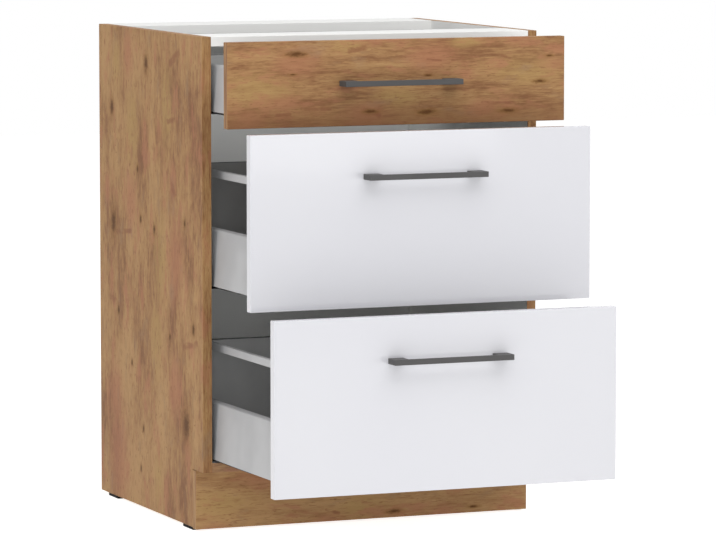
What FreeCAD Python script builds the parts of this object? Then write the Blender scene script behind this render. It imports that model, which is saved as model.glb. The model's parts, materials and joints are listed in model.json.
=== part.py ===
"""Kitchen base cabinet with three drawers, in millimetres.

The carcass is a box of 16 mm boards on four flat glides, open at the top between two traverses.
Three drawers with double-walled metal sides run out of it on telescopic runners.

Frame: +Z up, the drawers pull out towards -Y, X runs across the width. The origin is on the
floor, midway between the sides, in the plane of the carcass's front edges. Each drawer is
drawn at its own opening, with the middle members of its runners half as far out.
"""
import FreeCAD, Part
import math
import os

V = FreeCAD.Vector

# ---- carcass ------------------------------------------------------------------------------
carcass_width = 600.0          # over the outer faces of the two sides
carcass_height = 820.0         # floor to the upper edges of the sides
side_depth = 510.0             # front edge to rear edge of a side
board = 16.0                   # chipboard of the carcass
board_edge = 0.5               # eased edge of every board
traverse_width = 100.0         # front to back, of each of the two top traverses
back_thickness = 3.0           # hardboard back
back_inset = 2.0               # the back stays this far inside the carcass outline
plinth_height = 102.0          # floor to the underside of the bottom panel
plinth_recess = 35.0           # carcass front plane to the plinth's front face
plinth_ground_gap = 3.0        # floor to the plinth's lower edge
plinth_top_gap = 1.0           # plinth's upper edge to the bottom panel

glide_height = 5.0             # floor to the sides' lower edges
glide_length = 50.0
glide_width = 14.0
glide_corner = 3.0
glide_rear_setback = 34.0      # rear edge of the side to the rear glide
glide_front_setback = 1.0      # notch edge to the front glide
glide_pin_radius = 1.5
glide_pin_length = 12.0
glide_pin_spacing = 30.0

# ---- fronts -------------------------------------------------------------------------------
front_thickness = 16.0
front_reveal = 1.0             # side's outer face to the front's side edge
low_front_height = 140.0       # topmost front; the two tall ones share the height that is left
front_edge = 0.8               # eased edge of a front
front_gap = 3.0                # between two fronts
top_margin = 4.0               # topmost front to the carcass's top edge
closing_gap = 1.0              # carcass front plane to a closed front's rear face

# ---- drawer boxes -------------------------------------------------------------------------
drawer_length = 420.0          # metal side, front to rear
side_lift = 21.0               # front's lower edge to the metal side's lower edge
metal = 1.2                    # sheet of the sides and the runners
low_side_height = 76.0         # metal side of the topmost drawer
tall_side_height = 93.0        # metal side of the two lower drawers, under the rail
wall_gap_bottom = 5.0          # carcass to the metal side, at its lower edge
wall_gap_top = 12.0            # the same at its upper edge: the outer wall leans in
wall_top_width = 16.0          # flat top of the double wall
wall_top_radius = 3.0
hem_width = 3.4                # return at the outer wall's lower edge
floor_flange = 16.0            # flange of the inner wall under the drawer bottom
floor_height = 12.0            # metal side's lower edge to the drawer bottom's underside
drawer_board = 16.0            # chipboard of the drawer bottom and back

rail_width = 8.0
rail_height = 12.5
rail_wall = 1.0
rail_radius = 1.0
rail_top = 188.0               # metal side's lower edge to the rail's top
rail_axis = 26.0               # carcass inner face to the rail's centre line
rail_fit = 0.2                 # play between the rail and the spigot in it

rear_plate_reach = 32.0        # bracket plate, inwards past the metal side
rear_plate_foot = 24.0         # metal side's lower edge to the plate's lower edge
rear_tower_edge = 20.0         # carcass to the plate's outer edge beside the rail

front_bracket_length = 40.0
front_bracket_foot = 34.0      # metal side's lower edge to the front bracket
front_bracket_head = 6.0       # the bracket ends this far under the wall's top
front_bracket_plate = 2.0
front_bracket_leg = 1.5
front_bracket_clear = 1.0      # bracket plate to the leaning outer wall

holder_plate = 3.0
holder_width = 14.0
holder_height = 27.0
spigot_length = 15.0

# ---- runners ------------------------------------------------------------------------------
travel = 400.0                 # closed to fully open
top_opening = 96.0             # closed to the drawn pose
middle_opening = 198.5
bottom_opening = 301.5
runner_setback = 3.0           # carcass front plane to the fixed member
runner_length = 420.0          # fixed member
middle_setback = 8.0           # carcass front plane to the closed middle member
middle_length = 408.0
channel_setback = 4.0          # front's rear face to the drawer channel
channel_length = 412.0

flange_top = 34.0              # heights are from the metal side's lower edge
web_bottom = -3.7              # the fixed member passes under the outer wall here
upright_offset = 10.0          # carcass to the fixed member's upright
upright_top = 19.0
middle_offset = 12.2           # carcass to the middle member's lips
middle_depth = 8.0
middle_bottom = -4.0
middle_height = 23.0
channel_depth = 5.8
roller_play = 0.3              # roller to the lips it runs between
fixed_roller_side = 0.3        # roller to the upright, along its pin
fixed_roller_width = 5.5
middle_roller_side = 0.5
middle_roller_width = 4.0
roller_pin_radius = 2.0
roller_pin_play = 0.05
roller_head_radius = 3.5
roller_head = 1.2
first_roller = 20.0            # carcass front plane to the first roller, runner closed
roller_pitch = 90.0
roller_count = 3
middle_roller_radius = 9.0

# ---- handles ------------------------------------------------------------------------------
handle_length = 208.0
handle_height = 9.0
handle_projection = 29.0
handle_bar = 6.0
handle_leg = 26.0
handle_edge = 0.6
handle_screw_spacing = 192.0
handle_drop = 71.5             # top edge of a tall front to the handle's centre

# ---- fasteners ----------------------------------------------------------------------------
hole_play = 0.05               # shank to its hole, all round
overrun = 1.0                  # a drilling tool passes this far beyond the faces
euro_radius = 2.5
euro_length = 11.0
euro_head_radius = 4.2
euro_head = 1.8
first_runner_screw = 37.0      # carcass front plane to the first runner screw
runner_screw_steps = (0, 7, 11)
runner_screw_pitch = 32.0
runner_screw_height = 22.0     # metal side's lower edge to the runner screws

wood_screw_radius = 1.75
wood_screw_length = 12.0
wood_screw_head_radius = 3.4
wood_screw_head = 1.8
floor_screw_places = (60.0, 210.0, 360.0)
rear_screw_inset = 17.0        # metal side's inner face to the rear screws
rear_screw_margin = 16.0       # plate's upper and lower edge to the rear screws
front_screw_margin = 8.0       # front bracket's edges to its screws
front_screw_radius = 2.5
holder_screw_radius = 1.5
holder_screw_head_radius = 2.6
holder_screw_margin = 3.6

handle_screw_radius = 2.0
handle_screw_grip = 10.0
handle_screw_head_radius = 4.0
handle_screw_head = 2.6

dowel_radius = 4.0
dowel_length = 30.0
dowel_in_side = 10.0
dowel_end_gap = 0.5
dowel_margin = 38.0            # front and rear edge of the bottom panel to its dowels
traverse_dowel_margin = 26.0   # the same for the two traverses
plinth_dowel_length = 24.0
plinth_dowel_in_plinth = 9.0
plinth_dowel_margin = 22.0

cam_radius = 7.5
cam_depth = 12.5
cam_place = 24.0               # side's inner face to the cam's axis
cam_margin = 76.0              # front and rear edge of the bottom panel to its cams
cam_bolt_radius = 3.5
cam_bolt_in_side = 11.0
cam_slot_play = 0.3

nail_radius = 0.9
nail_length = 20.0
nail_head_radius = 2.2
nail_head = 0.8
nail_pitch = 120.0

worktop_hole_radius = 2.5
worktop_hole_inset = 62.0      # side's inner face to the worktop screw holes

# ---- sizes that follow --------------------------------------------------------------------
half_width = carcass_width / 2
inner_half = half_width - board
front_width = carcass_width - 2 * front_reveal
tall_front_height = (carcass_height - top_margin - plinth_height - low_front_height) / 2 - front_gap
traverse_bottom = carcass_height - board
notch_depth = plinth_recess + board
back_face = side_depth + back_thickness
inner_wall = wall_gap_top + wall_top_width
drawer_half = inner_half - inner_wall
back_front = drawer_length - drawer_board
web_top = web_bottom + metal
middle_back = middle_offset + middle_depth
roller_axis = middle_bottom + middle_height / 2
fixed_roller_radius = middle_height / 2 - metal - roller_play
channel_back = inner_wall - metal
channel_half = middle_roller_radius + roller_play

# the drawers, lowest first: name, front height, height of the metal side, has rails, opening
DRAWERS = (
    ("bottom", tall_front_height, tall_side_height, True, bottom_opening),
    ("middle", tall_front_height, tall_side_height, True, middle_opening),
    ("top", low_front_height, low_side_height, False, top_opening),
)

# screws: radius of the shank, radius of the head, height of the head
EURO_SCREW = (euro_radius, euro_head_radius, euro_head)
WOOD_SCREW = (wood_screw_radius, wood_screw_head_radius, wood_screw_head)
FRONT_SCREW = (front_screw_radius, euro_head_radius, euro_head)
HOLDER_SCREW = (holder_screw_radius, holder_screw_head_radius, wood_screw_head)
HANDLE_SCREW = (handle_screw_radius, handle_screw_head_radius, handle_screw_head)

NODES = {}


def add(name, *shapes):
    """Collect the solids of one node."""
    NODES.setdefault(name, []).extend(shapes)


def box(x0, x1, y0, y1, z0, z1):
    """A box between two corners, in any order."""
    low = V(min(x0, x1), min(y0, y1), min(z0, z1))
    return Part.makeBox(abs(x1 - x0), abs(y1 - y0), abs(z1 - z0), low)


def rod(radius, start, end):
    """A round bar between two points."""
    axis = end - start
    return Part.makeCylinder(radius, axis.Length, start, axis)


def cut(shape, tools):
    """The shape without the tools."""
    return shape.cut(tools) if tools else shape


def join(*shapes):
    """One solid made of touching pieces."""
    return shapes[0].fuse(list(shapes[1:])).removeSplitter()


def eased(shape, size, keep=None):
    """The shape with its edges chamfered; keep(edge) picks the edges."""
    edges = [edge for edge in shape.Edges if keep is None or keep(edge)]
    return shape.makeChamfer(size, edges)


def rounded_wire(points, radii):
    """A closed wire through the points, with an arc of its own radius at each corner."""
    edges = []
    count = len(points)
    starts, ends = [], []
    for i, (point, radius) in enumerate(zip(points, radii)):
        to_last = (points[i - 1] - point).normalize()
        to_next = (points[(i + 1) % count] - point).normalize()
        if radius <= 0:
            starts.append(point)
            ends.append(point)
            continue
        half = to_last.getAngle(to_next) / 2
        reach = radius / math.tan(half)
        starts.append(point + to_last * reach)
        ends.append(point + to_next * reach)
        middle = point + (to_last + to_next).normalize() * (radius / math.sin(half) - radius)
        edges.append(Part.Arc(starts[i], middle, ends[i]).toShape())
    for i in range(count):
        edges.append(Part.LineSegment(ends[i], starts[(i + 1) % count]).toShape())
    return Part.Wire(Part.__sortEdges__(edges))


def across(side, inset):
    """X of a point that lies this far inside the carcass's inner face, on the -1 or +1 side."""
    return side * (inner_half - inset)


def section(side, height, points, y0, y1, radii=None):
    """A profile of (inset, height) points, carried from y0 to y1."""
    corners = [V(across(side, u), y0, height + v) for u, v in points]
    wire = rounded_wire(corners, radii or [0] * len(corners))
    return Part.Face(wire).extrude(V(0, y1 - y0, 0))


# ---- carcass ------------------------------------------------------------------------------
def side_panel(side, holes):
    """Side with a notch for the plinth in its lower front corner."""
    outer = side * half_width
    corners = [
        V(outer, notch_depth, glide_height),
        V(outer, side_depth, glide_height),
        V(outer, side_depth, carcass_height),
        V(outer, 0, carcass_height),
        V(outer, 0, plinth_height),
        V(outer, notch_depth, plinth_height),
    ]
    panel = Part.Face(Part.makePolygon(corners + corners[:1])).extrude(V(-side * board, 0, 0))
    return cut(eased(panel, board_edge), holes)


def level_board(y0, y1, z0, holes):
    """A board that lies between the two sides."""
    panel = box(-inner_half, inner_half, y0, y1, z0, z0 + board)
    lengthwise = eased(panel, board_edge, lambda edge: abs(edge.tangentAt(0).x) > 0.9)
    return cut(lengthwise, holes)


def nail_steps(half_span):
    """Places of the nails between two corner nails, from the middle outwards at the pitch."""
    count = int(half_span / nail_pitch - 0.5)
    return [nail_pitch * step for step in range(-count, count + 1)]


def back_nails():
    """Nails round the back: into the sides, the bottom panel and the rear traverse."""
    half_x = half_width - board / 2
    low, high = plinth_height + board / 2, carcass_height - board / 2
    middle, half_z = (low + high) / 2, (high - low) / 2
    nails = []
    for x in (-half_x, half_x):
        for z in [low] + [middle + step for step in nail_steps(half_z)] + [high]:
            nails.append(nail(x, z))
    for z in (low, high):
        for x in nail_steps(half_x):
            nails.append(nail(x, z))
    return nails


def nail(x, z):
    """One nail with its head flush in the back."""
    head_face = V(x, back_face, z)
    head = rod(nail_head_radius, head_face - V(0, nail_head, 0), head_face)
    return head.fuse(rod(nail_radius, head_face - V(0, nail_length, 0), head_face)).removeSplitter()


def nail_hole(x, z):
    """The room that a nail takes in the back and the board behind it."""
    head_face = V(x, back_face, z)
    shank = rod(nail_radius + hole_play, head_face - V(0, nail_length + hole_play, 0), head_face)
    return shank.fuse(rod(nail_head_radius + hole_play, head_face - V(0, nail_head, 0), head_face))


def dowel_pair(side, y, z):
    """A dowel across the joint of a side and a level board, and the hole it sits in."""
    tip = V(side * (inner_half + dowel_in_side), y, z)
    end = V(side * (inner_half + dowel_in_side - dowel_length), y, z)
    run = V(side * dowel_end_gap, 0, 0)
    return rod(dowel_radius, end, tip), rod(dowel_radius + hole_play, end - run, tip + run)


def cam_set(side, y, z):
    """Cam housing, its bolt, and the room that both take in the boards."""
    axis = V(side * (inner_half - cam_place), y, z - board / 2)
    cam = rod(cam_radius, axis, axis + V(0, 0, cam_depth))
    bolt_end = V(side * (inner_half - cam_place), y, z)
    bolt_tip = V(side * (inner_half + cam_bolt_in_side), y, z)
    bolt = rod(cam_bolt_radius, bolt_end, bolt_tip)
    slot = rod(cam_bolt_radius + cam_slot_play, bolt_end - V(side * cam_slot_play, 0, 0), bolt_tip)
    room = rod(cam_radius + hole_play, axis - V(0, 0, hole_play), axis + V(0, 0, cam_depth))
    hole = rod(cam_bolt_radius + hole_play, bolt_end, bolt_tip + V(side * dowel_end_gap, 0, 0))
    return cam.cut(slot), bolt, room.fuse(hole)


def glide(side, y0):
    """Flat glide with two pins that press up into the side."""
    centre_x = side * (half_width - board / 2)
    corners = [
        V(centre_x - glide_width / 2, y0, 0),
        V(centre_x + glide_width / 2, y0, 0),
        V(centre_x + glide_width / 2, y0 + glide_length, 0),
        V(centre_x - glide_width / 2, y0 + glide_length, 0),
    ]
    wire = rounded_wire(corners, [glide_corner] * 4)
    plate = Part.Face(wire).extrude(V(0, 0, glide_height))
    pins, holes = [], []
    for step in (-0.5, 0.5):
        foot = V(centre_x, y0 + glide_length / 2 + step * glide_pin_spacing, glide_height)
        tip = foot + V(0, 0, glide_pin_length)
        pins.append(rod(glide_pin_radius, foot, tip))
        holes.append(rod(glide_pin_radius + hole_play, foot, tip + V(0, 0, hole_play)))
    return join(plate, *pins), holes


def plinth(dowel_holes):
    """Board across the front of the notch, over both sides."""
    front = plinth_recess
    panel = box(-half_width, half_width, front, front + board,
                plinth_ground_gap, plinth_height - plinth_top_gap)
    return cut(eased(panel, board_edge), dowel_holes)


def plinth_dowel(side, z):
    """Dowel from the plinth into the front edge of a side, and its hole."""
    x = side * (half_width - board / 2)
    tip = V(x, notch_depth - plinth_dowel_in_plinth, z)
    end = tip + V(0, plinth_dowel_length, 0)
    run = V(0, dowel_end_gap, 0)
    return rod(dowel_radius, tip, end), rod(dowel_radius + hole_play, tip - run, end + run)


def worktop_holes():
    """Four screw holes up through the traverses, for the worktop."""
    rows = (traverse_width / 2, side_depth - traverse_width / 2)
    x = inner_half - worktop_hole_inset
    low, high = traverse_bottom - overrun, carcass_height + overrun
    return [rod(worktop_hole_radius, V(sign * x, y, low), V(sign * x, y, high))
            for sign in (-1, 1) for y in rows]


# ---- runners ------------------------------------------------------------------------------
def roller_places():
    """Rollers, from the carcass's front plane with the runner closed."""
    return [first_roller + roller_pitch * i for i in range(roller_count)]


def runner_screw_places():
    """Runner screws sit on the row of holes of the cabinet side."""
    return [first_runner_screw + runner_screw_pitch * step for step in runner_screw_steps]


def bored(side, radius, u0, u1, y, z):
    """A hole across the sheet that lies between two insets."""
    return rod(radius, V(across(side, u0 - overrun), y, z), V(across(side, u1 + overrun), y, z))


def fixed_member(side, base):
    """Sheet profile screwed to the cabinet side, with an upright inside the metal side."""
    profile = [
        (0, flange_top), (0, web_bottom), (upright_offset + metal, web_bottom),
        (upright_offset + metal, upright_top), (upright_offset, upright_top),
        (upright_offset, web_top), (metal, web_top), (metal, flange_top),
    ]
    member = section(side, base, profile, runner_setback, runner_setback + runner_length)
    holes = []
    for y in roller_places():
        holes.append(bored(side, roller_pin_radius + roller_pin_play, upright_offset,
                           upright_offset + metal, y, base + roller_axis))
    for y in runner_screw_places():
        holes.append(bored(side, euro_radius + hole_play, 0, metal, y, base + runner_screw_height))
    return cut(member, holes)


def runner_screw(side, base, y):
    """Screw of the fixed member, and its hole in the cabinet side."""
    z = base + runner_screw_height
    seat = V(across(side, metal), y, z)
    outwards = V(side, 0, 0)
    length = metal + euro_length
    return headed_screw(seat, outwards, length, *EURO_SCREW), screw_hole(seat, outwards, length, euro_radius)


def roller(side, base, y, head, face, width, radius):
    """Roller with its pin and riveted head; insets run from the head to the roller's far face."""
    z = base + roller_axis
    wheel = rod(radius, V(across(side, face), y, z), V(across(side, face + width), y, z))
    pin = rod(roller_pin_radius, V(across(side, head), y, z), V(across(side, face), y, z))
    cap = rod(roller_head_radius, V(across(side, head), y, z),
              V(across(side, head + roller_head), y, z))
    return join(wheel, pin, cap)


def fixed_roller(side, base, y):
    """Roller on the upright, inside the middle member."""
    return roller(side, base, y, upright_offset - roller_head,
                  upright_offset + metal + fixed_roller_side, fixed_roller_width, fixed_roller_radius)


def middle_roller(side, base, y):
    """Roller on the middle member, inside the drawer channel."""
    return roller(side, base, y, middle_back - metal - roller_head,
                  middle_back + middle_roller_side, middle_roller_width, middle_roller_radius)


def middle_member(side, base, shift):
    """Channel between the fixed member and the drawer, open towards the cabinet side."""
    low, high = middle_bottom, middle_bottom + middle_height
    profile = [
        (middle_offset, low), (middle_back, low), (middle_back, high), (middle_offset, high),
        (middle_offset, high - metal), (middle_back - metal, high - metal),
        (middle_back - metal, low + metal), (middle_offset, low + metal),
    ]
    start = middle_setback - shift
    member = section(side, base, profile, start, start + middle_length)
    holes = [bored(side, roller_pin_radius + roller_pin_play, middle_back - metal, middle_back,
                   y - shift, base + roller_axis) for y in roller_places()]
    return cut(member, holes)


def drawer_channel(side, base, front):
    """Channel on the inner wall of the metal side, open towards the cabinet side."""
    low, high = roller_axis - channel_half - metal, roller_axis + channel_half + metal
    edge = channel_back - channel_depth + metal
    profile = [
        (edge, low), (channel_back, low), (channel_back, high), (edge, high),
        (edge, high - metal), (channel_back - metal, high - metal),
        (channel_back - metal, low + metal), (edge, low + metal),
    ]
    start = front + channel_setback
    return section(side, base, profile, start, start + channel_length)


# ---- drawer boxes -------------------------------------------------------------------------
def outer_wall(height, v):
    """Inset of the leaning outer wall's outer face at a height above its lower edge."""
    return wall_gap_bottom + (wall_gap_top - wall_gap_bottom) * v / height


def metal_side(side, base, front, height, holes):
    """Double-walled side: leaning outer wall, flat top, inner wall and floor flange."""
    inner_radius = wall_top_radius - metal
    profile = [
        (outer_wall(height, 0), 0, 0),
        (outer_wall(height, height), height, wall_top_radius),
        (inner_wall, height, wall_top_radius),
        (inner_wall, floor_height, 0),
        (inner_wall + floor_flange, floor_height, 0),
        (inner_wall + floor_flange, floor_height - metal, 0),
        (inner_wall - metal, floor_height - metal, 0),
        (inner_wall - metal, height - metal, inner_radius),
        (outer_wall(height, height - metal) + metal, height - metal, inner_radius),
        (outer_wall(height, metal) + metal, metal, 0),
        (wall_gap_bottom + hem_width, metal, 0),
        (wall_gap_bottom + hem_width, 0, 0),
    ]
    points = [(u, v) for u, v, _ in profile]
    radii = [radius for _, _, radius in profile]
    return cut(section(side, base, points, front, front + drawer_length, radii), holes)


def drawer_front(base_z, height, front, holes):
    """Front panel with eased edges."""
    panel = box(-front_width / 2, front_width / 2, front - front_thickness, front,
                base_z, base_z + height)
    return cut(eased(panel, front_edge), holes)


def handle(z, front, holes):
    """Flat bar with a wide leg at each end."""
    face = front - front_thickness
    bar_back = face - handle_projection + handle_bar
    half = handle_length / 2
    low, high = z - handle_height / 2, z + handle_height / 2
    outline = [
        V(-half, face, low), V(-half, face - handle_projection, low),
        V(half, face - handle_projection, low), V(half, face, low),
        V(half - handle_leg, face, low), V(half - handle_leg, bar_back, low),
        V(handle_leg - half, bar_back, low), V(handle_leg - half, face, low),
    ]
    body = Part.Face(Part.makePolygon(outline + outline[:1])).extrude(V(0, 0, high - low))
    seat = face - handle_edge
    return cut(eased(body, handle_edge, lambda edge: edge.BoundBox.YMin < seat), holes)


def headed_screw(seat, direction, length, radius, head_radius, head):
    """A screw whose head sits on the seat, with its shank along the direction."""
    shank = rod(radius, seat, seat + direction * length)
    return join(rod(head_radius, seat, seat - direction * head), shank)


def screw_hole(seat, direction, length, radius):
    """The hole of such a screw."""
    return rod(radius + hole_play, seat, seat + direction * (length + hole_play))


def screw_row(seats, direction, length, size):
    """Screws of one size with their heads on the seats, and the holes they sit in."""
    screws = [headed_screw(seat, direction, length, *size) for seat in seats]
    return screws, [screw_hole(seat, direction, length, size[0]) for seat in seats]


def rear_bracket(side, base, front, height, top, holes):
    """Plate behind the drawer back; beside a tall back it also holds the rail's rear end."""
    plate_y = front + drawer_length
    inner = inner_wall + rear_plate_reach
    outline = [(wall_gap_top, rear_plate_foot), (inner, rear_plate_foot), (inner, top)]
    if top <= height:
        outline += [(wall_gap_top, top)]
        return cut(section(side, base, outline, plate_y, plate_y + metal), holes)
    outline += [(rear_tower_edge, top), (rear_tower_edge, height), (wall_gap_top, height)]
    plate = section(side, base, outline, plate_y, plate_y + metal)
    cheek = upright_plate(side, base, inner_wall - metal, inner_wall, height, top,
                          front + back_front, plate_y)
    seat = upright_plate(side, base, rear_tower_edge, inner_wall, rail_top - rail_height, top,
                         front + back_front, front + back_front + metal)
    return cut(join(plate, cheek, seat), holes)


def upright_plate(side, base, u0, u1, low, high, y0, y1):
    """A rectangular plate between two insets and two heights."""
    return section(side, base, [(u0, low), (u1, low), (u1, high), (u0, high)], y0, y1)


def front_bracket_span(height):
    """Outer inset and upper end of the front bracket, which stays clear of the leaning wall."""
    head = height - front_bracket_head
    return outer_wall(height, head) + metal + front_bracket_clear, head


def front_bracket(side, base, front, height, holes):
    """Angle inside the double wall that the front is screwed to."""
    start, head = front_bracket_span(height)
    end = inner_wall - metal
    plate = upright_plate(side, base, start, end, front_bracket_foot, head,
                          front, front + front_bracket_plate)
    leg = upright_plate(side, base, end - front_bracket_leg, end, front_bracket_foot, head,
                        front, front + front_bracket_length)
    return cut(join(plate, leg), holes)


def rail(side, base, front):
    """Square tube above the metal side."""
    low = rail_top - rail_height
    start = front + holder_plate

    def loop(inset, radius):
        left, right = rail_axis - rail_width / 2 + inset, rail_axis + rail_width / 2 - inset
        foot, head = low + inset, rail_top - inset
        points = [(left, foot), (right, foot), (right, head), (left, head)]
        return section(side, base, points, start, front + back_front, [radius] * len(points))

    return loop(0, rail_radius).cut(loop(rail_wall, 0))


def rail_holder(side, base, front, holes):
    """Plate on the front's rear face, with a spigot inside the rail."""
    middle = rail_top - rail_height / 2
    plate = upright_plate(side, base, rail_axis - holder_width / 2, rail_axis + holder_width / 2,
                          middle - holder_height / 2, middle + holder_height / 2,
                          front, front + holder_plate)
    reach_u = rail_width / 2 - rail_wall - rail_fit
    reach_v = rail_height / 2 - rail_wall - rail_fit
    spigot = upright_plate(side, base, rail_axis - reach_u, rail_axis + reach_u,
                           middle - reach_v, middle + reach_v,
                           front, front + holder_plate + spigot_length)
    return cut(join(plate, spigot), holes)


# ---- assembly -----------------------------------------------------------------------------
def build_drawer(name, base_z, front_height, height, has_rails, opening):
    """All pieces that move with one drawer."""
    node = name + "_drawer_"
    front = -closing_gap - opening
    base = base_z + side_lift
    back_top = rail_top - metal if has_rails else height
    handle_z = base_z + (front_height - handle_drop if has_rails else front_height / 2)

    seats = [V(sign * handle_screw_spacing / 2, front, handle_z) for sign in (-1, 1)]
    screws, handle_holes = screw_row(seats, V(0, -1, 0), front_thickness + handle_screw_grip,
                                     HANDLE_SCREW)
    add(node + "handle_screws", *screws)
    add(node + "handle", handle(handle_z, front, handle_holes))
    front_holes, floor_holes, back_holes = list(handle_holes), [], []
    for side in (-1, 1):
        front_holes += fix_front(node, side, base, front, height)
        floor_holes += fix_floor(node, side, base, front, height)
        back_holes += fix_back(node, side, base, front, height, back_top)
        if has_rails:
            front_holes += fix_rail(node, side, base, front)
        add(node + "channels", drawer_channel(side, base, front))

    add(node + "front", drawer_front(base_z, front_height, front, front_holes))
    floor_top = base + floor_height + drawer_board
    floor = box(-drawer_half, drawer_half, front, front + drawer_length, base + floor_height, floor_top)
    add(node + "bottom", cut(floor, floor_holes))
    back = box(-drawer_half, drawer_half, front + back_front, front + drawer_length,
               floor_top, base + back_top)
    add(node + "back", cut(back, back_holes))


def fix_front(node, side, base, front, height):
    """Front bracket with its screws into the front; returns the holes in the front."""
    start, head = front_bracket_span(height)
    middle = (start + inner_wall - metal - front_bracket_leg) / 2
    heights = (front_bracket_foot + front_screw_margin, head - front_screw_margin)
    seats = [V(across(side, middle), front + front_bracket_plate, base + v) for v in heights]
    screws, holes = screw_row(seats, V(0, -1, 0), front_bracket_plate + euro_length, FRONT_SCREW)
    add(node + "screws", *screws)
    add(node + "front_brackets", front_bracket(side, base, front, height, holes))
    return holes


def fix_floor(node, side, base, front, height):
    """Metal side with the screws up into the drawer bottom; returns the holes in the bottom."""
    u = inner_wall + floor_flange / 2
    seats = [V(across(side, u), front + y, base + floor_height - metal) for y in floor_screw_places]
    screws, holes = screw_row(seats, V(0, 0, 1), metal + wood_screw_length, WOOD_SCREW)
    add(node + "screws", *screws)
    label = "left" if side < 0 else "right"
    add(node + "side_" + label, metal_side(side, base, front, height, holes))
    return holes


def fix_back(node, side, base, front, height, back_top):
    """Rear bracket with its screws into the drawer back; returns the holes in the back."""
    u = inner_wall + rear_screw_inset
    y = front + drawer_length + metal
    heights = (floor_height + drawer_board + rear_screw_margin, back_top - rear_screw_margin)
    seats = [V(across(side, u), y, base + v) for v in heights]
    screws, holes = screw_row(seats, V(0, -1, 0), metal + wood_screw_length, WOOD_SCREW)
    add(node + "screws", *screws)
    add(node + "rear_brackets", rear_bracket(side, base, front, height, back_top, holes))
    return holes


def fix_rail(node, side, base, front):
    """Rail and its holder with two screws into the front; returns the holes in the front."""
    middle = rail_top - rail_height / 2
    reach = holder_height / 2 - holder_screw_margin
    seats = [V(across(side, rail_axis), front + holder_plate, base + middle + sign * reach)
             for sign in (-1, 1)]
    screws, holes = screw_row(seats, V(0, -1, 0), holder_plate + wood_screw_length, HOLDER_SCREW)
    add(node + "screws", *screws)
    add(node + "rails", rail(side, base, front))
    add(node + "rail_holders", rail_holder(side, base, front, holes))
    return holes


def build_runners(name, base_z, opening):
    """The fixed members on the cabinet sides and the middle members between; returns the holes."""
    base = base_z + side_lift
    holes = {-1: [], 1: []}
    for side in (-1, 1):
        label = "left" if side < 0 else "right"
        add("fixed_runners_" + label, fixed_member(side, base))
        for y in runner_screw_places():
            screw, hole = runner_screw(side, base, y)
            add("runner_screws", screw)
            holes[side].append(hole)
        for y in roller_places():
            add("fixed_rollers", fixed_roller(side, base, y))
            add(name + "_slide_rollers", middle_roller(side, base, y - opening / 2))
        add(name + "_slide_members", middle_member(side, base, opening / 2))
    return holes


def build_carcass(runner_holes):
    """The fixed box."""
    bottom_holes, front_holes, rear_holes = [], [], []
    side_holes = {-1: list(runner_holes[-1]), 1: list(runner_holes[1])}
    low, high = plinth_height + board / 2, traverse_bottom + board / 2
    rear_start = side_depth - traverse_width
    levels = (
        (low, (dowel_margin, side_depth - dowel_margin),
         (cam_margin, side_depth - cam_margin), bottom_holes),
        (high, (traverse_dowel_margin, traverse_width - traverse_dowel_margin),
         (traverse_width / 2,), front_holes),
        (high, (rear_start + traverse_dowel_margin, side_depth - traverse_dowel_margin),
         (rear_start + traverse_width / 2,), rear_holes),
    )
    for side in (-1, 1):
        for z, dowel_places, cam_places, board_holes in levels:
            for y in dowel_places:
                dowel, hole = dowel_pair(side, y, z)
                add("dowels", dowel)
                board_holes.append(hole)
                side_holes[side].append(hole)
            for y in cam_places:
                cam, bolt, hole = cam_set(side, y, z)
                add("cam_housings", cam)
                add("cam_bolts", bolt)
                board_holes.append(hole)
                side_holes[side].append(hole)

    plinth_holes = []
    for side in (-1, 1):
        for z in (plinth_ground_gap + plinth_dowel_margin,
                  plinth_height - plinth_top_gap - plinth_dowel_margin):
            dowel, hole = plinth_dowel(side, z)
            add("dowels", dowel)
            plinth_holes.append(hole)
            side_holes[side].append(hole)
        for y0 in (notch_depth + glide_front_setback, side_depth - glide_rear_setback - glide_length):
            foot, holes = glide(side, y0)
            add("glides", foot)
            side_holes[side] += holes

    nails = back_nails()
    add("back_panel_nails", *nails)
    nail_holes = [nail_hole(n.BoundBox.Center.x, n.BoundBox.Center.z) for n in nails]
    back = box(back_inset - half_width, half_width - back_inset, side_depth, back_face,
               plinth_height + back_inset, carcass_height - back_inset)
    add("back_panel", cut(back, nail_holes))
    screw_holes = worktop_holes()
    add("side_panel_left", side_panel(-1, side_holes[-1] + nail_holes))
    add("side_panel_right", side_panel(1, side_holes[1] + nail_holes))
    add("bottom_panel", level_board(0, side_depth, plinth_height, bottom_holes + nail_holes))
    add("front_traverse", level_board(0, traverse_width, traverse_bottom, front_holes + screw_holes))
    add("rear_traverse", level_board(side_depth - traverse_width, side_depth, traverse_bottom,
                                     rear_holes + nail_holes + screw_holes))
    add("plinth_board", plinth(plinth_holes))


def main():
    """Build every node and write it to its own file."""
    os.makedirs("parts", exist_ok=True)
    runner_holes = {-1: [], 1: []}
    base_z = plinth_height
    for name, front_height, height, has_rails, opening in DRAWERS:
        build_drawer(name, base_z, front_height, height, has_rails, opening)
        holes = build_runners(name, base_z, opening)
        for side in (-1, 1):
            runner_holes[side] += holes[side]
        base_z += front_height + front_gap
    build_carcass(runner_holes)
    for name, solids in NODES.items():
        shape = solids[0] if len(solids) == 1 else Part.makeCompound(solids)
        shape.exportStep("parts/" + name + ".step")
    print(len(NODES), "nodes,", sum(len(s.Solids) for group in NODES.values() for s in group), "solids")


main()
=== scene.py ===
# %% [markdown]
# # A kitchen base cabinet with drawers
#
# The construction comes ready made: boards, metal drawer sides, runners and screws stand at
# their real size. This lesson gives them their looks. It starts with the fixed frame and the
# camera and makes the finishes one by one. Then it rebuilds the pieces whose edges catch the
# light: the fronts, handles, screws, rollers, cam housings and glides. The stage and the lamps
# come last.

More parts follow.
